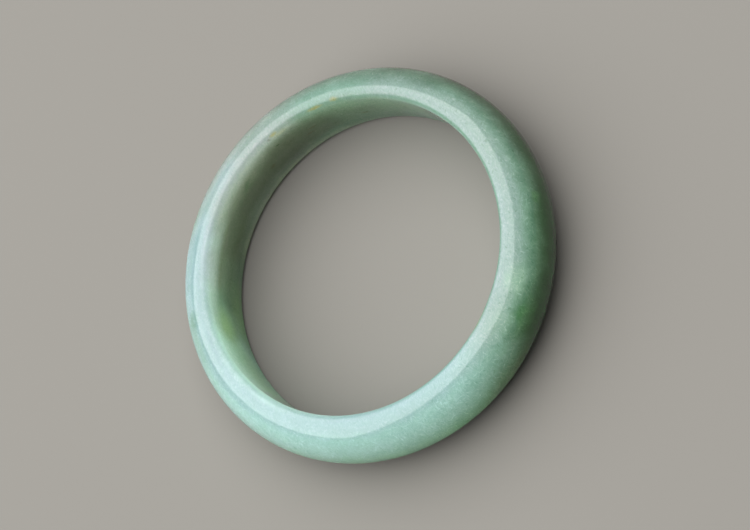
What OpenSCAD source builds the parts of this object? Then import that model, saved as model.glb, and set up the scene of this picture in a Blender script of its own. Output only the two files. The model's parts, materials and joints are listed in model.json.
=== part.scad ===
// Bangle bracelet: one closed ring cut from a single piece of jade.
// The band has a straight inner wall, a domed outside and a small rounded edge on each side of the wall.
// The ring lies flat: its axis is Z and its lower edge stands on Z = 0.

/* [Wrist opening] */
// Diameter of the inner wall
inner_d = 56; // [48:0.5:70]

/* [Band] */
// Width of the band, along the axis of the ring
band_w = 14.2; // [8:0.1:20]
// Thickness of the band, from the inner wall to the crown of the dome
band_t = 6.9; // [5:0.1:10]
// Radius of the rounded edge between the inner wall and the dome
edge_r = 1.5; // [0.4:0.1:2]

/* [Hidden] */
$fn = 180;
inner_r = inner_d / 2;
outer_r = inner_r + band_t;
half_w = band_w / 2;

// Centre of the upper rounded edge, in the section
edge_x = inner_r + edge_r;
edge_y = half_w - edge_r;

// How far the rounded edge stands proud of the dome where they meet, so that the two arcs cross cleanly
meet_proud = 0.003;
meet_r = edge_r - meet_proud;

// A wide band has one dome arc that runs into both rounded edges.
// A band too thick for that has a half-round dome and flat sides.
wide_band = half_w >= band_t - edge_r;
edge_to_crown = band_t - edge_r;
arc_r = (pow(edge_to_crown, 2) + pow(edge_y, 2) - pow(meet_r, 2)) / (2 * (edge_to_crown - meet_r));
dome_r = wide_band ? arc_r : half_w;
dome_x = outer_r - dome_r;

// Direction from the centre of the rounded edge to where it meets the dome or the flat side
meet_gap = [edge_x - dome_x, edge_y];
meet_dir = wide_band ? meet_gap / norm(meet_gap) : [0, 1];

// How far the limits of the dome run past its surface
overrun = 1;
limit_x = edge_x + (edge_r + overrun) * meet_dir[0];
limit_y = edge_y + (edge_r + overrun) * meet_dir[1];
far_x = outer_r + overrun;

jade_green = [0.56, 0.74, 0.65];

// The stretch of the section on which the dome lies, between the two rounded edges
module dome_limits() {
    polygon([
        [edge_x, edge_y],
        [limit_x, limit_y],
        [far_x, limit_y],
        [far_x, -limit_y],
        [limit_x, -limit_y],
        [edge_x, -edge_y]
    ]);
}

// The dome, with the flat sides that a thick band needs
module dome_side() {
    intersection() {
        union() {
            translate([dome_x, 0])
                circle(r = dome_r);
            if (!wide_band)
                translate([edge_x, -half_w])
                    square([dome_x - edge_x, band_w]);
        }
        dome_limits();
    }
}

// The strip behind the inner wall, with its two rounded edges
module wall_side() {
    translate([inner_r, -edge_y])
        square([edge_r, 2 * edge_y]);
    for (side = [-1, 1])
        translate([edge_x, side * edge_y])
            circle(r = edge_r);
}

// The whole ring of stone
module jade_ring() {
    color(jade_green)
        translate([0, 0, half_w])
            rotate_extrude() {
                dome_side();
                wall_side();
            }
}

jade_ring();
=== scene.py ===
import json
import math
from collections import namedtuple

import bpy
from mathutils import Matrix, Vector


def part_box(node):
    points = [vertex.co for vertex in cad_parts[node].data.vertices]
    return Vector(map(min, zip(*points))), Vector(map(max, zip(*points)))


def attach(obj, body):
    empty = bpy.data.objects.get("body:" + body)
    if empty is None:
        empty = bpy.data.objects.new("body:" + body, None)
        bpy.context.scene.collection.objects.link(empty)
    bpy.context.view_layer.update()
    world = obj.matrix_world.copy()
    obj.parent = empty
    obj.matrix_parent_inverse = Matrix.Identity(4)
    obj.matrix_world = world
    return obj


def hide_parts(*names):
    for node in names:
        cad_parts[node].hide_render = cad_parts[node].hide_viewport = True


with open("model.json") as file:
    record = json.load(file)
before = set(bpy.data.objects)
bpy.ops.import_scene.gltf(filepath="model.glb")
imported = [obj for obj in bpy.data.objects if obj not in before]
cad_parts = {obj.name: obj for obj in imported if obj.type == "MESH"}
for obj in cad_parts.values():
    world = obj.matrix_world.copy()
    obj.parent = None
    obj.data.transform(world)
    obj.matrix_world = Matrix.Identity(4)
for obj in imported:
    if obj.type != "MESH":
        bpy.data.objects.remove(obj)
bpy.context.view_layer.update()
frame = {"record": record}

MM = 0.001

# Sizes of the ring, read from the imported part
RING_NODE = "jade_ring"
WRIST_MOUNT = next(m for m in frame["record"]["mounts"] if m["name"] == "wrist_opening")
RING_LOW, RING_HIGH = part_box(RING_NODE)
WRIST_RADIUS = WRIST_MOUNT["dims"]["r_mm"] * MM
WALL_LENGTH = WRIST_MOUNT["dims"]["length_mm"] * MM
BAND_WIDTH = RING_HIGH.z - RING_LOW.z
BAND_THICKNESS = RING_HIGH.x - WRIST_RADIUS
EDGE_RADIUS = (BAND_WIDTH - WALL_LENGTH) / 2
RING_CENTRE = (RING_LOW + RING_HIGH) / 2

# The level that noise swings about
NOISE_MIDDLE = 0.5


def colour(red, green, blue):
    """A display colour, 0 to 255, as the linear RGBA that a socket takes."""
    def linear(level):
        share = level / 255
        return share / 12.92 if share <= 0.04045 else ((share + 0.055) / 1.055) ** 2.4
    return (linear(red), linear(green), linear(blue), 1.0)


def add_node(tree, kind, inputs=None, **settings):
    """A node of that kind. Inputs are given by name or index, as a value or as a socket to link from."""
    made = tree.nodes.new(kind)
    for name, value in settings.items():
        setattr(made, name, value)
    for name, value in (inputs or {}).items():
        if isinstance(value, bpy.types.NodeSocket):
            tree.links.new(value, made.inputs[name])
        else:
            made.inputs[name].default_value = value
    return made


def calc(tree, operation, first, second=0.0):
    """The result of one sum, in a shader or a geometry tree."""
    return add_node(tree, "ShaderNodeMath", {0: first, 1: second}, operation=operation).outputs[0]


# The ring: a section swept round the wrist opening

ROUND_STEPS = 400
DOME_STEPS = 80
EDGE_STEPS = 24
WALL_STEPS = 12
MERGE_GAP = 0.001 * MM
# Unevenness that hand polishing leaves: its height, how many waves fit in a metre, and their detail
POLISH_HEIGHT = 0.008 * MM
POLISH_WAVES = 70.0
POLISH_DETAIL = 1.0
RING_SIZES = {
    "Wrist Radius": WRIST_RADIUS,
    "Band Width": BAND_WIDTH,
    "Band Thickness": BAND_THICKNESS,
    "Edge Radius": EDGE_RADIUS,
    "Polish Height": POLISH_HEIGHT,
    "Polish Waves": POLISH_WAVES,
}


def section_arc(tree, radius, start, sweep, steps, out, height):
    """An arc of the section, whose centre lies that far out and that high."""
    drawn = add_node(tree, "GeometryNodeCurveArc", {
        "Radius": radius, "Start Angle": start, "Sweep Angle": sweep, "Resolution": steps})
    place = add_node(tree, "ShaderNodeCombineXYZ", {"X": out, "Y": height})
    moved = add_node(tree, "GeometryNodeTransform", {
        "Geometry": drawn.outputs[0], "Translation": place.outputs[0]})
    return moved.outputs[0]


def dome_shape(tree, thickness, edge, edge_height):
    """The radius of the dome, how far out its centre lies, and the angle at which it meets an edge."""
    edge_to_crown = calc(tree, "SUBTRACT", thickness, edge)
    squares = [calc(tree, "POWER", side, 2.0) for side in (edge_to_crown, edge_height, edge)]
    rise = calc(tree, "SUBTRACT", calc(tree, "ADD", squares[0], squares[1]), squares[2])
    gap = calc(tree, "MULTIPLY", calc(tree, "SUBTRACT", edge_to_crown, edge), 2.0)
    radius = calc(tree, "DIVIDE", rise, gap)
    out = calc(tree, "SUBTRACT", thickness, radius)
    meet_angle = calc(tree, "ARCTAN2", edge_height, calc(tree, "SUBTRACT", edge, out))
    return radius, out, meet_angle


def wall_line(tree, top, foot):
    """The straight inner wall of the section, from its top to its foot."""
    ends = [add_node(tree, "ShaderNodeCombineXYZ", {"Y": height}).outputs[0] for height in (top, foot)]
    line = add_node(tree, "GeometryNodeCurvePrimitiveLine", {"Start": ends[0], "End": ends[1]})
    points = add_node(tree, "GeometryNodeResampleCurve", {"Curve": line.outputs[0], "Count": WALL_STEPS})
    return points.outputs[0]


def section_curve(tree, sizes):
    """The outline of the band: inner wall, dome and the two rounded edges, as one closed curve."""
    edge = sizes["Edge Radius"]
    edge_height = calc(tree, "SUBTRACT", calc(tree, "MULTIPLY", sizes["Band Width"], 0.5), edge)
    low_height = calc(tree, "MULTIPLY", edge_height, -1.0)
    dome_radius, dome_out, meet_angle = dome_shape(tree, sizes["Band Thickness"], edge, edge_height)
    low_angle = calc(tree, "MULTIPLY", meet_angle, -1.0)
    dome_sweep = calc(tree, "MULTIPLY", meet_angle, 2.0)
    edge_sweep = calc(tree, "SUBTRACT", math.pi, meet_angle)
    dome = section_arc(tree, dome_radius, low_angle, dome_sweep, DOME_STEPS, dome_out, 0.0)
    high_edge = section_arc(tree, edge, meet_angle, edge_sweep, EDGE_STEPS, edge, edge_height)
    wall = wall_line(tree, edge_height, low_height)
    low_edge = section_arc(tree, edge, math.pi, edge_sweep, EDGE_STEPS, edge, low_height)
    stretches = add_node(tree, "GeometryNodeJoinGeometry")
    for stretch in (dome, high_edge, wall, low_edge):
        tree.links.new(stretch, stretches.inputs[0])
    wires = add_node(tree, "GeometryNodeCurveToMesh", {"Curve": stretches.outputs[0]})
    merged = add_node(tree, "GeometryNodeMergeByDistance", {
        "Geometry": wires.outputs[0], "Distance": MERGE_GAP})
    return add_node(tree, "GeometryNodeMeshToCurve", {"Mesh": merged.outputs[0]}).outputs[0]


def polish_offset(tree, given):
    """How far the polished surface lies off the true one, along its normal."""
    waves = add_node(tree, "ShaderNodeTexNoise", {
        "Scale": given["Polish Waves"], "Detail": POLISH_DETAIL})
    swing = calc(tree, "SUBTRACT", waves.outputs[0], NOISE_MIDDLE)
    height = calc(tree, "MULTIPLY", swing, given["Polish Height"])
    normal = add_node(tree, "GeometryNodeInputNormal").outputs[0]
    offset = add_node(tree, "ShaderNodeVectorMath", {0: normal, "Scale": height}, operation="SCALE")
    return offset.outputs[0]


def ring_tree():
    """Geometry Nodes that sweep the section round the wrist opening and make its polish uneven."""
    tree = bpy.data.node_groups.new("swept jade ring", "GeometryNodeTree")
    tree.interface.new_socket("Geometry", in_out="INPUT", socket_type="NodeSocketGeometry")
    for name in RING_SIZES:
        tree.interface.new_socket(name, in_out="INPUT", socket_type="NodeSocketFloat")
    tree.interface.new_socket("Stone", in_out="INPUT", socket_type="NodeSocketMaterial")
    tree.interface.new_socket("Geometry", in_out="OUTPUT", socket_type="NodeSocketGeometry")
    given = add_node(tree, "NodeGroupInput").outputs

    path = add_node(tree, "GeometryNodeCurvePrimitiveCircle", {
        "Radius": given["Wrist Radius"], "Resolution": ROUND_STEPS})
    swept = add_node(tree, "GeometryNodeCurveToMesh", {
        "Curve": path.outputs[0], "Profile Curve": section_curve(tree, given)})
    raised = add_node(tree, "GeometryNodeTransform", {
        "Geometry": swept.outputs[0], "Translation": RING_CENTRE})
    polished = add_node(tree, "GeometryNodeSetPosition", {
        "Geometry": raised.outputs[0], "Offset": polish_offset(tree, given)})
    smooth = add_node(tree, "GeometryNodeSetShadeSmooth", {"Geometry": polished.outputs[0]})
    real = add_node(tree, "GeometryNodeRealizeInstances", {"Geometry": smooth.outputs[0]})
    stone = add_node(tree, "GeometryNodeSetMaterial", {
        "Geometry": real.outputs[0], "Material": given["Stone"]})
    add_node(tree, "NodeGroupOutput", {"Geometry": stone.outputs[0]})
    return tree


def make_ring(stone):
    """The polished ring as a plain mesh."""
    carrier = bpy.data.objects.new("ring carrier", bpy.data.meshes.new("ring carrier"))
    bpy.context.scene.collection.objects.link(carrier)
    tree = ring_tree()
    sweep = carrier.modifiers.new("sweep", "NODES")
    sweep.node_group = tree
    values = {**RING_SIZES, "Stone": stone}
    for socket in tree.interface.items_tree:
        if socket.in_out == "INPUT" and socket.name in values:
            sweep[socket.identifier] = values[socket.name]
    bpy.context.view_layer.update()
    depsgraph = bpy.context.evaluated_depsgraph_get()
    mesh = bpy.data.meshes.new_from_object(carrier.evaluated_get(depsgraph))
    bpy.data.objects.remove(carrier)
    ring = bpy.data.objects.new("polished_ring", mesh)
    bpy.context.scene.collection.objects.link(ring)
    return ring


# Materials

JADE_INDEX = 1.70
# How far light spreads inside the stone, for red, green and blue
LIGHT_SPREAD = (11.5 * MM, 14.0 * MM, 9.5 * MM)
FLOOR_COLOUR = colour(143, 140, 134)
FLOOR_BOUNCE = colour(60, 59, 56)
FLOOR_ROUGHNESS = 0.9
FLOOR_SHINE = 0.2

# Tones of the stone, and tones that paint shade and light on it
CELADON = colour(138, 174, 156)
PALE_AQUA = colour(169, 211, 202)
COOL_WHITE = colour(170, 203, 206)
CLOUDY_GREY = colour(152, 170, 160)
# The next two tones: partly the stone's tone, partly painted shade that dims the top of the band, which
# faces the light
RIM_AQUA_SHADE = colour(156, 190, 188)
COOL_RIM_SHADE = colour(152, 184, 182)
FRESH_GREEN = colour(150, 212, 170)
# Deep green: the stone's own colour, laid more strongly on the outer dome's side turned from the light as
# painted shade
DEEP_GREEN_AND_SHADE = colour(52, 102, 58)
# Near-black green: painted shade on the outer dome's side turned from the light, over deep green stone;
# also one dark speck among the stains
DARK_SPECK_AND_LIMB_SHADE = colour(24, 72, 28)
# Grey green: partly the stone's colour, partly painted shade on the outer dome's side turned from the
# light
GREY_GREEN_AND_SHADE = colour(70, 98, 76)
SHADE_GREY = colour(98, 104, 98)
MISTY_RIM = colour(160, 177, 173)
WALL_GREY = colour(146, 152, 140)
MOSS_GREY = colour(122, 150, 126)
WALL_GREEN = colour(166, 212, 166)
# Olive: the stone's olive tint, darkened further as painted shade on the inner wall where it is turned
# from the light
OLIVE_AND_WALL_SHADE = colour(72, 82, 58)
# Olive green: partly the stone's colour, partly painted shade low on the inner wall and low on the dome's
# side turned from the light
OLIVE_GREEN_AND_SHADE = colour(84, 103, 63)
# Cool wall: painted light on the upper inner wall, where light thrown back from a bright surface beside
# the ring falls, over pale stone
COOL_WALL_LIGHT = colour(196, 212, 220)
# Pale rim: painted highlight along the inner top edge and the top of the band, over pale stone
PALE_RIM_HIGHLIGHT = colour(196, 208, 208)
# Wall foot: painted light at the foot of the inner wall, where the ring rests on the floor and would lie
# in shade
WALL_FOOT_LIGHT = colour(202, 206, 182)
# Aqua rim: painted light at the top of the inner wall, where light thrown back from a bright surface
# beside the ring falls, over aqua stone
AQUA_RIM_LIGHT = colour(188, 220, 212)
# Pale wall: painted light on the inner wall, where light thrown back from a bright surface beside the ring
# falls
PALE_WALL_LIGHT = colour(196, 236, 226)
PALE_CLOUD = colour(174, 208, 184)
SPRING_GREEN = colour(164, 202, 136)
VIVID_GREEN = colour(84, 138, 84)
EDGE_GREEN = colour(96, 158, 118)
OCHRE = colour(178, 166, 84)
BROWN = colour(92, 84, 56)

# A patch of colour on the stone, some of them painted shade and some painted light: where its middle lies,
# how far it reaches, how strong it is and how much of its reach is full colour, in degrees and millimetres
SOFT_PATCH = 0.1
Patch = namedtuple("Patch", "turn radius height through along tall share solid", defaults=(SOFT_PATCH,))

PALE_SIDE = Patch(turn=206, radius=31, height=8, through=38, along=38, tall=30, share=1.0, solid=0.6)

BODY_PATCHES = (
    (COOL_WHITE, Patch(
        turn=122, radius=34, height=11, through=6, along=15, tall=12, share=0.9, solid=0.3)),
    (CLOUDY_GREY, Patch(
        turn=76, radius=31, height=11, through=16, along=16, tall=14, share=0.9, solid=0.4)),
)

# A zone runs along the ring from one turn to another and eases in at both ends: start, end and ease come
# first, in degrees
Zone = namedtuple("Zone", "start end ease radius height through tall solid share")

SIDE_ZONES = (
    (FRESH_GREEN, Zone(145, 285, 30, radius=36, height=3, through=6, tall=8, solid=0.3, share=0.65)),
    (PALE_AQUA, Zone(120, 168, 18, radius=34.5, height=9, through=4, tall=5, solid=0.3, share=0.8)),
    # The next three zones: painted shade that dims the top of the band, which faces the light, over the
    # stone's own tone
    (COOL_RIM_SHADE, Zone(80, 180, 26, radius=30.5, height=15, through=5, tall=3.2, solid=0.4, share=0.9)),
    (RIM_AQUA_SHADE, Zone(142, 275, 28, radius=30.5, height=15, through=5, tall=3.2, solid=0.4, share=0.85)),
    (RIM_AQUA_SHADE, Zone(-95, -25, 20, radius=30.5, height=15, through=5, tall=3.2, solid=0.4, share=0.3)),
    (MISTY_RIM, Zone(-115, 40, 28, radius=30.5, height=15, through=5, tall=3.6, solid=0.4, share=0.5)),
    # The zones from here to the limb zones darken the outer dome on the side turned from the light and on
    # its underside: partly the stone's deep green, partly painted shade
    (DEEP_GREEN_AND_SHADE, Zone(-132, -60, 34, radius=38, height=6.5, through=8, tall=10, solid=0.3, share=0.25)),
    (DEEP_GREEN_AND_SHADE, Zone(-100, -34, 18, radius=38, height=7, through=8, tall=10, solid=0.4, share=0.92)),
    (GREY_GREEN_AND_SHADE, Zone(-52, 26, 20, radius=38, height=8, through=8.4, tall=10, solid=0.4, share=0.92)),
    (GREY_GREEN_AND_SHADE, Zone(-2, 68, 16, radius=38, height=11, through=9.0, tall=10, solid=0.4, share=0.5)),
    (SHADE_GREY, Zone(20, 116, 34, radius=38, height=9.5, through=8.4, tall=10, solid=0.3, share=0.6)),
    (DEEP_GREEN_AND_SHADE, Zone(-108, 44, 28, radius=35, height=1, through=6, tall=6, solid=0.3, share=0.8)),
    (GREY_GREEN_AND_SHADE, Zone(2, 54, 20, radius=33, height=13.4, through=3.6, tall=3, solid=0.2, share=0.25)),
    # Painted shade along the outer dome turned from the light, over deep green stone
    (DARK_SPECK_AND_LIMB_SHADE, Zone(-106, 44, 26, radius=36.5, height=7, through=3.6, tall=6, solid=0.4, share=0.9)),
    (DARK_SPECK_AND_LIMB_SHADE, Zone(-62, -18, 16, radius=36, height=9.4, through=3.6, tall=5, solid=0.3, share=0.45)),
    (MOSS_GREY, Zone(0, 84, 26, radius=26.5, height=7, through=4, tall=12, solid=0.5, share=0.8)),
    (WALL_GREY, Zone(46, 132, 26, radius=26.5, height=7, through=4, tall=12, solid=0.5, share=0.8)),
    # Painted shade over olive stone, on the inner wall turned from the light
    (OLIVE_AND_WALL_SHADE, Zone(20, 128, 34, radius=27, height=6.4, through=4, tall=5.2, solid=0.3, share=0.66)),
    # Painted shade at the foot of the inner wall, over olive-green stone
    (OLIVE_GREEN_AND_SHADE, Zone(92, 150, 18, radius=27, height=3.6, through=4, tall=5.2, solid=0.3, share=0.5)),
    # Painted light along the foot of the inner wall, lifting it out of the floor's shade
    (WALL_FOOT_LIGHT, Zone(10, 136, 50, radius=28.2, height=0.6, through=1.8, tall=2.4, solid=0.3, share=0.5)),
    # Painted light on the upper inner wall, over pale stone
    (COOL_WALL_LIGHT, Zone(91, 143, 26, radius=27.8, height=12.6, through=2.5, tall=3.6, solid=0.3, share=0.72)),
    # The next two zones: painted highlight along the inner top edge and the top of the band, over pale
    # stone
    (PALE_RIM_HIGHLIGHT, Zone(50, 112, 20, radius=27.6, height=13.4, through=2.5, tall=3.4, solid=0.2, share=0.5)),
    (PALE_RIM_HIGHLIGHT, Zone(74, 114, 14, radius=31.5, height=13.6, through=3.6, tall=3.6, solid=0.3, share=0.2)),
    # Painted light at the top of the inner wall, over aqua stone
    (AQUA_RIM_LIGHT, Zone(104, 210, 22, radius=27.6, height=12.8, through=2.5, tall=4.2, solid=0.2, share=0.55)),
    # Painted light on the inner wall, where light thrown back from a bright surface beside the ring falls
    (PALE_WALL_LIGHT, Zone(129, 200, 18, radius=27.6, height=9, through=3, tall=8, solid=0.3, share=0.85)),
    (WALL_GREEN, Zone(138, 196, 20, radius=27.6, height=4, through=3, tall=6.5, solid=0.3, share=0.5)),
)

# Thin line of purer green along the rounded edge, where the stone is thinnest
EDGE_LINES = (
    (EDGE_GREEN, Zone(
        -150, 30, 40, radius=28.45, height=13.8, through=0.55, tall=0.5, solid=0.3, share=0.4)),
)

COLOUR_PATCHES = (
    (PALE_CLOUD, Patch(turn=-73, radius=32.2, height=12.9, through=3, along=4.5, tall=2.5, share=0.6)),
    (PALE_CLOUD, Patch(turn=-86, radius=31.9, height=13.1, through=3, along=5.0, tall=2.2, share=0.25)),
    # The next two patches: painted shade over olive stone, on the inner wall turned from the light
    (OLIVE_AND_WALL_SHADE, Patch(turn=68, radius=27, height=5.4, through=4, along=10, tall=4.0, share=0.35, solid=0.2)),
    (OLIVE_AND_WALL_SHADE, Patch(turn=60, radius=27, height=9.8, through=4, along=13, tall=4.2, share=0.6, solid=0.2)),
    (VIVID_GREEN, Patch(turn=-82, radius=33.9, height=10.2, through=4, along=5.0, tall=3.2, share=0.3)),
    (VIVID_GREEN, Patch(turn=-81.5, radius=33.6, height=11.0, through=3, along=2.4, tall=1.7, share=0.5)),
    (VIVID_GREEN, Patch(turn=-46, radius=34.2, height=10.3, through=2, along=1.6, tall=1.4, share=0.5)),
    (SPRING_GREEN, Patch(turn=139, radius=28.0, height=8.4, through=3, along=5.0, tall=5.2, share=0.65)),
    (SPRING_GREEN, Patch(turn=132, radius=28.0, height=2.5, through=3, along=9.0, tall=4.0, share=0.35)),
    # The next two patches: olive-green stone, partly painted shade low on the inner wall and on the dome's
    # side turned from the light
    (OLIVE_GREEN_AND_SHADE, Patch(turn=130, radius=28.0, height=7.0, through=3, along=5.0, tall=5.0, share=0.25)),
    (OLIVE_GREEN_AND_SHADE, Patch(turn=-100, radius=34.9, height=5.6, through=5, along=10.0, tall=4.6, share=0.6)),
    # Painted light on the upper inner wall, over pale stone
    (COOL_WALL_LIGHT, Patch(turn=118, radius=28.0, height=11.6, through=3, along=4.4, tall=2.6, share=0.5)),
    (VIVID_GREEN, Patch(turn=136, radius=32.0, height=13.0, through=3, along=2.4, tall=3.0, share=0.3)),
    (DEEP_GREEN_AND_SHADE, Patch(turn=86, radius=28.0, height=9.4, through=2, along=2.0, tall=1.8, share=0.35)),
)

STAINS = (
    (OCHRE, Patch(turn=65, radius=28.2, height=13.6, through=0.8, along=1.2, tall=0.45, share=0.6)),
    (OCHRE, Patch(turn=63, radius=28.2, height=12.9, through=0.8, along=2.6, tall=0.9, share=0.22)),
    (BROWN, Patch(turn=67.6, radius=28.1, height=13.3, through=0.8, along=0.6, tall=0.4, share=0.4)),
    (OCHRE, Patch(turn=47, radius=28.3, height=13.6, through=0.8, along=2.2, tall=0.4, share=0.6)),
    (OCHRE, Patch(turn=39, radius=28.5, height=13.9, through=0.8, along=1.2, tall=0.5, share=0.5)),
    (OCHRE, Patch(turn=-90, radius=28.4, height=13.7, through=0.8, along=3.2, tall=0.5, share=0.35)),
    (BROWN, Patch(turn=75, radius=28.0, height=6.4, through=1.0, along=0.9, tall=0.8, share=0.4)),
    (DARK_SPECK_AND_LIMB_SHADE, Patch(turn=67.5, radius=28.0, height=10.2, through=1.0, along=0.6, tall=0.4, share=0.5)),
    (BROWN, Patch(turn=56.8, radius=28.0, height=6.6, through=1.0, along=1.6, tall=0.5, share=0.4)),
    (BROWN, Patch(turn=54.6, radius=28.0, height=8.0, through=1.0, along=1.4, tall=0.4, share=0.35)),
    (BROWN, Patch(turn=35, radius=28.0, height=5.8, through=1.0, along=1.2, tall=0.5, share=0.4)),
)

# How noise moves the point that colours are drawn from: the size of its swirls and how far they reach, in
# millimetres
Drift = namedtuple("Drift", "size reach")

BODY_DRIFT = Drift(size=9.0, reach=5.0)
SIDE_DRIFT = Drift(size=5.0, reach=1.6)
PATCH_DRIFT = Drift(size=1.6, reach=2.0)
EDGE_DRIFT = Drift(size=1.6, reach=0.2)
STAIN_DRIFT = Drift(size=0.6, reach=0.5)
GRAIN_DRIFT = Drift(size=3.0, reach=1.6)
# How noise swings the zones round the ring: the size of its blotches, the turn in degrees, and the detail
SWAY_SIZE = 7.0
SWAY_TURN = 30.0
SWAY_DETAIL = 0.5
NOISE_DETAIL = 2.0

# Grain of the stone: what it multiplies the colour by where it is dark and where it is pale
MOTTLE_DARK, MOTTLE_PALE = (0.78, 0.85, 0.80, 1.0), (1.20, 1.14, 1.18, 1.0)
FELT_DARK, FELT_PALE = (0.88, 0.93, 0.90, 1.0), (1.12, 1.07, 1.10, 1.0)
BLADE_DARK, BLADE_PALE = (0.66, 0.77, 0.69, 1.0), (1.40, 1.25, 1.34, 1.0)

# Cloudy mottling, and the levels of its noise that are fully pale and fully dark
Cloud = namedtuple("Cloud", "size share")

CLOUDS = (Cloud(size=3.5, share=0.32), Cloud(size=1.5, share=0.34))
CLOUD_PALE, CLOUD_DARK = 0.7, 0.3

# Matted threads, the levels of their noise that are fully pale and fully dark, and the ways that they lie,
# as turns in degrees
Felt = namedtuple("Felt", "length width share")

FELTS = (Felt(length=1.4, width=0.26, share=0.35), Felt(length=0.8, width=0.16, share=1.5))
FELT_LEVELS = (0.8, 0.5)
FELT_DETAIL = 1.0
FELT_TURNS = ((0, 0, 20), (35, 70, 0), (70, 15, 55), (120, 45, 10))

# Short straight threads, and how much of their reach is full colour
Blade = namedtuple("Blade", "spacing length width")

PALE_BLADES = (Blade(spacing=0.65, length=0.6, width=0.10), Blade(spacing=1.3, length=1.0, width=0.11))
DARK_BLADES = (Blade(spacing=0.8, length=0.5, width=0.11),)
BLADE_CORE = 0.2

# Where the grain is fainter: on one side of the ring, and inwards of the dome
CALM_SIDE = Patch(turn=160, radius=31, height=8, through=52, along=52, tall=40, share=0.45, solid=0.7)
DOME_GRAIN_RADIUS, RIM_GRAIN_RADIUS = 32.4, 30.4
RIM_CLOUDS, RIM_THREADS = 0.35, 0.8

# The polish: the size of its duller blotches, the levels of their noise, and the roughness at those levels
GLOSS_SIZE = 0.9
GLOSS_LOW, GLOSS_HIGH = 0.3, 0.7
BRIGHT_ROUGHNESS, DULL_ROUGHNESS = 0.015, 0.06
# How deep polishing leaves the softer grains below the hard ones, and how large they are
DIMPLE_DEPTH = 0.002 * MM
DIMPLE_SIZE = 0.5
DIMPLE_DETAIL = 1.0

# What a point is multiplied by to leave out its height
ACROSS = (1.0, 1.0, 0.0)

# Sockets of the node groups
FLOAT, VECTOR = "NodeSocketFloat", "NodeSocketVector"
PATCH_SOCKETS = {
    "Point": VECTOR, "Turn": FLOAT, "Middle": VECTOR, "Reach": VECTOR, "Solid": FLOAT, "Share": FLOAT}
ZONE_SOCKETS = {**PATCH_SOCKETS, "Full": FLOAT, "End": FLOAT}
FELT_SOCKETS = {"Point": VECTOR, "Length": FLOAT, "Width": FLOAT}
BLADE_SOCKETS = {**FELT_SOCKETS, "Spacing": FLOAT}


def new_material(name):
    """An empty material and its shader, joined to the output."""
    material = bpy.data.materials.new(name)
    material.use_nodes = True
    tree = material.node_tree
    tree.nodes.clear()
    shader = add_node(tree, "ShaderNodeBsdfPrincipled")
    add_node(tree, "ShaderNodeOutputMaterial", {"Surface": shader.outputs[0]})
    return material, tree, shader


def vector_math(tree, operation, first, second):
    """The vector that one sum gives."""
    return add_node(tree, "ShaderNodeVectorMath", {0: first, 1: second}, operation=operation).outputs[0]


def length_of(tree, vector):
    """How long a vector is."""
    return add_node(tree, "ShaderNodeVectorMath", {0: vector}, operation="LENGTH").outputs["Value"]


def radius_of(tree, point):
    """How far a point lies from the axis of the ring."""
    return length_of(tree, vector_math(tree, "MULTIPLY", point, ACROSS))


def turned(tree, point, angle):
    """The point turned about the axis of the ring."""
    return add_node(tree, "ShaderNodeVectorRotate", {
        "Vector": point, "Angle": angle}, rotation_type="Z_AXIS").outputs[0]


def tumbled(tree, point, angles):
    """The point turned about all three axes."""
    return add_node(tree, "ShaderNodeVectorRotate", {
        "Vector": point, "Rotation": angles}, rotation_type="EULER_XYZ").outputs[0]


def fade(tree, value, full, none):
    """1 where the value is at full or beyond, falling smoothly to 0 at none."""
    ranged = add_node(tree, "ShaderNodeMapRange", {
        "Value": value, "From Min": full, "From Max": none, "To Min": 1.0, "To Max": 0.0,
    }, interpolation_type="SMOOTHSTEP")
    return ranged.outputs[0]


def blend(tree, share, below, above, mode="MIX"):
    """One colour laid over another."""
    mixed = add_node(tree, "ShaderNodeMix", {
        0: share, 6: below, 7: above}, data_type="RGBA", blend_type=mode)
    return mixed.outputs[2]


def noise(tree, point, size, detail=NOISE_DETAIL):
    """Soft noise whose blotches are about that many millimetres across."""
    return add_node(tree, "ShaderNodeTexNoise", {"Vector": point, "Scale": 1.0 / size, "Detail": detail})


def wander(tree, point, drift):
    """The point moved about by noise, so that an edge that is drawn from it comes out ragged."""
    swirls = noise(tree, point, drift.size).outputs["Color"]
    step = vector_math(tree, "SUBTRACT", swirls, (NOISE_MIDDLE,) * 3)
    return vector_math(tree, "ADD", point, vector_math(tree, "MULTIPLY", step, (drift.reach,) * 3))


def sway(tree, point):
    """The point swung round the ring by noise, so that zones run into each other unevenly."""
    swing = calc(tree, "SUBTRACT", noise(tree, point, SWAY_SIZE, SWAY_DETAIL).outputs[0], NOISE_MIDDLE)
    return turned(tree, point, calc(tree, "MULTIPLY", swing, math.radians(SWAY_TURN)))


def shader_group(name, inputs, output):
    """An empty node group with those inputs and one output, and the sockets that its inputs come in by."""
    tree = bpy.data.node_groups.new(name, "ShaderNodeTree")
    for socket, kind in inputs.items():
        tree.interface.new_socket(socket, in_out="INPUT", socket_type=kind)
    tree.interface.new_socket(output, in_out="OUTPUT", socket_type=FLOAT)
    return tree, add_node(tree, "NodeGroupInput").outputs


def turned_back(tree, given):
    """The point turned back round the ring, to where a patch or a zone has its middle on X."""
    return turned(tree, given["Point"], calc(tree, "MULTIPLY", given["Turn"], -1.0))


def soft_edge(tree, point, given):
    """1 in the solid part of a patch or a zone, falling to 0 where its reach ends."""
    away = vector_math(tree, "SUBTRACT", point, given["Middle"])
    distance = length_of(tree, vector_math(tree, "DIVIDE", away, given["Reach"]))
    return fade(tree, distance, given["Solid"], 1.0)


def patch_group():
    """A soft-edged patch inside the stone, turned round the ring to its place."""
    tree, given = shader_group("patch", PATCH_SOCKETS, "Mask")
    mask = calc(tree, "MULTIPLY", soft_edge(tree, turned_back(tree, given), given), given["Share"])
    add_node(tree, "NodeGroupOutput", {"Mask": mask})
    return tree


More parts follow.
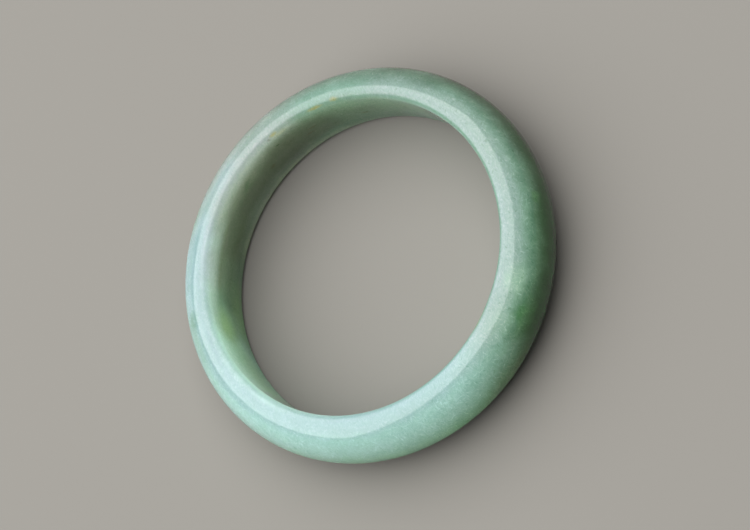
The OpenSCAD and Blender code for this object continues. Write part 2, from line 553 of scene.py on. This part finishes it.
def zone_group():
    """A soft-edged zone that runs along the ring, with faded ends."""
    tree, given = shader_group("zone", ZONE_SOCKETS, "Mask")
    point = turned_back(tree, given)
    part = add_node(tree, "ShaderNodeSeparateXYZ", {0: point}).outputs
    angle = calc(tree, "ABSOLUTE", calc(tree, "ARCTAN2", part["Y"], part["X"]))
    section_point = add_node(tree, "ShaderNodeCombineXYZ", {
        "X": radius_of(tree, point), "Z": part["Z"]}).outputs[0]
    along = calc(tree, "MULTIPLY", fade(tree, angle, given["Full"], given["End"]), given["Share"])
    mask = calc(tree, "MULTIPLY", soft_edge(tree, section_point, given), along)
    add_node(tree, "NodeGroupOutput", {"Mask": mask})
    return tree


def leaf_size(tree, given):
    """The size of a thin leaf of crystal, which is as broad as it is long."""
    return add_node(tree, "ShaderNodeCombineXYZ", {
        "X": given["Length"], "Y": given["Length"], "Z": given["Width"]}).outputs[0]


def felt_group():
    """Matted crystal threads: thin leaves that lie several ways, which a cut shows as crossing streaks."""
    tree, given = shader_group("felt", FELT_SOCKETS, "Pale")
    size = leaf_size(tree, given)
    pale = 0.0
    for turns in FELT_TURNS:
        laid = tumbled(tree, given["Point"], [math.radians(turn) for turn in turns])
        streaks = noise(tree, vector_math(tree, "DIVIDE", laid, size), 1.0, FELT_DETAIL)
        pale = calc(tree, "MAXIMUM", pale, streaks.outputs[0])
    add_node(tree, "NodeGroupOutput", {"Pale": fade(tree, pale, *FELT_LEVELS)})
    return tree


def blade_group():
    """Flat crystals that lie every way, one to a cell, which a cut shows as short straight threads."""
    tree, given = shader_group("blades", BLADE_SOCKETS, "Mask")
    cells = add_node(tree, "ShaderNodeTexVoronoi", {
        "Vector": given["Point"], "Scale": calc(tree, "DIVIDE", 1.0, given["Spacing"])}).outputs
    away = vector_math(tree, "SUBTRACT", given["Point"], cells["Position"])
    laid = tumbled(tree, away, vector_math(tree, "MULTIPLY", cells["Color"], (math.tau,) * 3))
    distance = length_of(tree, vector_math(tree, "DIVIDE", laid, leaf_size(tree, given)))
    strength = add_node(tree, "ShaderNodeSeparateXYZ", {0: cells["Color"]}).outputs[0]
    mask = calc(tree, "MULTIPLY", fade(tree, distance, BLADE_CORE, 1.0), strength)
    add_node(tree, "NodeGroupOutput", {"Mask": mask})
    return tree


def place_group(tree, group, inputs):
    """What a node group gives for those inputs."""
    placed = add_node(tree, "ShaderNodeGroup", inputs, node_tree=group)
    return placed.outputs[0]


def patch_mask(tree, point, group, patch):
    """How much of a patch there is at a point."""
    return place_group(tree, group, {
        "Point": point,
        "Turn": math.radians(patch.turn),
        "Middle": (patch.radius, 0.0, patch.height),
        "Reach": (patch.through, patch.along, patch.tall),
        "Solid": patch.solid,
        "Share": patch.share,
    })


def zone_mask(tree, point, group, zone):
    """How much of a zone there is at a point."""
    half = (zone.end - zone.start) / 2
    return place_group(tree, group, {
        "Point": point,
        "Turn": math.radians(zone.start + half),
        "Full": math.radians(half - zone.ease),
        "End": math.radians(half),
        "Middle": (zone.radius, 0.0, zone.height),
        "Reach": (zone.through, 1.0, zone.tall),
        "Solid": zone.solid,
        "Share": zone.share,
    })


def lay(tree, stone, point, mask, group, places):
    """The stone's colour with the tint of each patch or zone laid over it in turn."""
    for tint, place in places:
        stone = blend(tree, mask(tree, point, group, place), stone, tint)
    return stone


def stone_colour(tree, point, body_point, patch, zone):
    """The colours of the stone, with painted shade and painted light in some of its zones and patches,
    from the widest to the smallest.
    """
    stone = blend(tree, patch_mask(tree, body_point, patch, PALE_SIDE), CELADON, PALE_AQUA)
    stone = lay(tree, stone, body_point, patch_mask, patch, BODY_PATCHES)
    stone = lay(tree, stone, sway(tree, wander(tree, point, SIDE_DRIFT)), zone_mask, zone, SIDE_ZONES)
    stone = lay(tree, stone, wander(tree, point, PATCH_DRIFT), patch_mask, patch, COLOUR_PATCHES)
    stone = lay(tree, stone, wander(tree, point, EDGE_DRIFT), zone_mask, zone, EDGE_LINES)
    return lay(tree, stone, wander(tree, point, STAIN_DRIFT), patch_mask, patch, STAINS)


def grain_strengths(tree, point, body_point, patch):
    """How strong the clouds and the threads are at a point."""
    strength = calc(tree, "SUBTRACT", 1.0, patch_mask(tree, body_point, patch, CALM_SIDE))
    dome = fade(tree, radius_of(tree, point), DOME_GRAIN_RADIUS, RIM_GRAIN_RADIUS)
    strengths = []
    for rim in (RIM_CLOUDS, RIM_THREADS):
        share = calc(tree, "ADD", calc(tree, "MULTIPLY", dome, 1.0 - rim), rim)
        strengths.append(calc(tree, "MULTIPLY", strength, share))
    return strengths


def add_clouds(tree, stone, point, strength):
    """The stone with cloudy mottling."""
    for cloud in CLOUDS:
        pale = fade(tree, noise(tree, point, cloud.size).outputs[0], CLOUD_PALE, CLOUD_DARK)
        grain = blend(tree, pale, MOTTLE_DARK, MOTTLE_PALE)
        stone = blend(tree, calc(tree, "MULTIPLY", strength, cloud.share), stone, grain, "MULTIPLY")
    return stone


def add_felt(tree, stone, point, strength):
    """The stone with matted threads."""
    group = felt_group()
    for felt in FELTS:
        pale = place_group(tree, group, {"Point": point, "Length": felt.length, "Width": felt.width})
        grain = blend(tree, pale, FELT_DARK, FELT_PALE)
        stone = blend(tree, calc(tree, "MULTIPLY", strength, felt.share), stone, grain, "MULTIPLY")
    return stone


def add_blades(tree, stone, point, group, blades, tint, strength):
    """The stone with short straight threads of one tint."""
    for blade in blades:
        mask = place_group(tree, group, {
            "Point": point, "Spacing": blade.spacing, "Length": blade.length, "Width": blade.width})
        stone = blend(tree, calc(tree, "MULTIPLY", strength, mask), stone, tint, "MULTIPLY")
    return stone


def polish_surface(tree, shader, point, bent):
    """A gloss that varies a little, and the dimples of the softer grains."""
    gloss = add_node(tree, "ShaderNodeMapRange", {
        "Value": noise(tree, bent, GLOSS_SIZE).outputs[0], "From Min": GLOSS_LOW, "From Max": GLOSS_HIGH,
        "To Min": BRIGHT_ROUGHNESS, "To Max": DULL_ROUGHNESS})
    tree.links.new(gloss.outputs[0], shader.inputs["Roughness"])
    dimples = add_node(tree, "ShaderNodeBump", {
        "Height": noise(tree, point, DIMPLE_SIZE, DIMPLE_DETAIL).outputs[0],
        "Strength": 1.0, "Distance": DIMPLE_DEPTH})
    tree.links.new(dimples.outputs[0], shader.inputs["Normal"])


def let_light_in(shader):
    """Light that enters the stone and spreads before it leaves again."""
    shader.inputs["IOR"].default_value = JADE_INDEX
    shader.inputs["Subsurface Weight"].default_value = 1.0
    shader.subsurface_method = "BURLEY"
    shader.inputs["Subsurface Radius"].default_value = LIGHT_SPREAD
    shader.inputs["Subsurface Scale"].default_value = 1.0


def jade_material():
    """Polished translucent jade: soft zones of colour, some of them painted shade and painted light,
    stains, cloudy mottling and matted threads.
    """
    material, tree, shader = new_material("polished jade")
    object_point = add_node(tree, "ShaderNodeTexCoord").outputs["Object"]
    point = vector_math(tree, "DIVIDE", object_point, (MM,) * 3)
    body_point = wander(tree, point, BODY_DRIFT)
    bent = wander(tree, point, GRAIN_DRIFT)
    patch, zone, blade = patch_group(), zone_group(), blade_group()

    stone = stone_colour(tree, point, body_point, patch, zone)
    cloud_strength, thread_strength = grain_strengths(tree, point, body_point, patch)
    stone = add_clouds(tree, stone, bent, cloud_strength)
    stone = add_felt(tree, stone, bent, thread_strength)
    stone = add_blades(tree, stone, point, blade, PALE_BLADES, BLADE_PALE, cloud_strength)
    stone = add_blades(tree, stone, point, blade, DARK_BLADES, BLADE_DARK, thread_strength)
    tree.links.new(stone, shader.inputs["Base Color"])
    polish_surface(tree, shader, point, bent)
    let_light_in(shader)
    return material


def floor_material():
    """Plain pale studio floor, which throws only a little light back up at the ring."""
    material, tree, shader = new_material("pale floor")
    ray = add_node(tree, "ShaderNodeLightPath").outputs
    seen = calc(tree, "MAXIMUM", ray["Is Camera Ray"], ray["Is Glossy Ray"])
    seen = calc(tree, "MAXIMUM", seen, ray["Is Transmission Ray"])
    tree.links.new(blend(tree, seen, FLOOR_BOUNCE, FLOOR_COLOUR), shader.inputs["Base Color"])
    shader.inputs["Roughness"].default_value = FLOOR_ROUGHNESS
    shader.inputs["Specular IOR Level"].default_value = FLOOR_SHINE
    return material


# Studio

FLOOR_HALF = 4.0
SOFTBOX_FROM_RING = Vector((-0.188, 0.342, 1.135))
SOFTBOX_TURN = (-17.2, 16.8, 58.2)
SOFTBOX_SIZE = (2.61, 3.27)
SOFTBOX_LEVEL = 2.2
SKY_COLOUR = (1.0, 1.0, 1.0, 1.0)
SKY_LEVEL = 0.1

# The photograph's frame, and how the ring sits in it
PHOTO_SIZE = (750, 530)
RING_PIXEL = (369.0, 264.6)
PIXELS_PER_METRE = 5821.0
VIEW_DISTANCE = 1.3
VIEW_TILT = math.radians(31.24)
AXIS_TURN = math.radians(61.74)
SENSOR_WIDTH = 36.0


def make_floor():
    """The surface that the ring lies on."""
    corners = [(x * FLOOR_HALF, y * FLOOR_HALF, 0.0) for x, y in ((-1, -1), (1, -1), (1, 1), (-1, 1))]
    mesh = bpy.data.meshes.new("floor")
    mesh.from_pydata(corners, [], [(0, 1, 2, 3)])
    mesh.materials.append(floor_material())
    floor = bpy.data.objects.new("floor", mesh)
    bpy.context.scene.collection.objects.link(floor)


def make_softbox():
    """One large soft light above and behind the ring."""
    lamp = bpy.data.lights.new("softbox", "AREA")
    lamp.shape = "RECTANGLE"
    lamp.size, lamp.size_y = SOFTBOX_SIZE
    lamp.energy = SOFTBOX_LEVEL * math.pi * lamp.size * lamp.size_y
    softbox = bpy.data.objects.new("softbox", lamp)
    softbox.location = RING_CENTRE + SOFTBOX_FROM_RING
    softbox.rotation_euler = [math.radians(turn) for turn in SOFTBOX_TURN]
    softbox.visible_camera = False
    bpy.context.scene.collection.objects.link(softbox)


def make_sky():
    """A faint even sky."""
    world = bpy.data.worlds.new("studio")
    world.use_nodes = True
    sky = world.node_tree.nodes["Background"]
    sky.inputs["Color"].default_value = SKY_COLOUR
    sky.inputs["Strength"].default_value = SKY_LEVEL
    bpy.context.scene.world = world


def make_camera():
    """The camera, at the angle from which the photograph sees the ring."""
    back = Vector((0.0, -math.sin(VIEW_TILT), math.cos(VIEW_TILT)))
    level_right = Vector((1.0, 0.0, 0.0))
    level_up = back.cross(level_right)
    right = level_right * math.cos(AXIS_TURN) - level_up * math.sin(AXIS_TURN)
    up = back.cross(right)
    aside = (PHOTO_SIZE[0] / 2 - RING_PIXEL[0]) / PIXELS_PER_METRE
    below = (PHOTO_SIZE[1] / 2 - RING_PIXEL[1]) / PIXELS_PER_METRE
    lens = bpy.data.cameras.new("camera")
    lens.sensor_width = SENSOR_WIDTH
    lens.lens = PIXELS_PER_METRE * VIEW_DISTANCE * SENSOR_WIDTH / PHOTO_SIZE[0]
    camera = bpy.data.objects.new("camera", lens)
    camera.rotation_euler = Matrix((right, up, back)).transposed().to_euler()
    camera.location = RING_CENTRE + right * aside - up * below + back * VIEW_DISTANCE
    bpy.context.scene.collection.objects.link(camera)
    bpy.context.scene.camera = camera


ring = make_ring(jade_material())
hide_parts(RING_NODE)
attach(ring, "root")

make_floor()
make_softbox()
make_sky()
make_camera()
bpy.context.scene.view_settings.view_transform = "Standard"
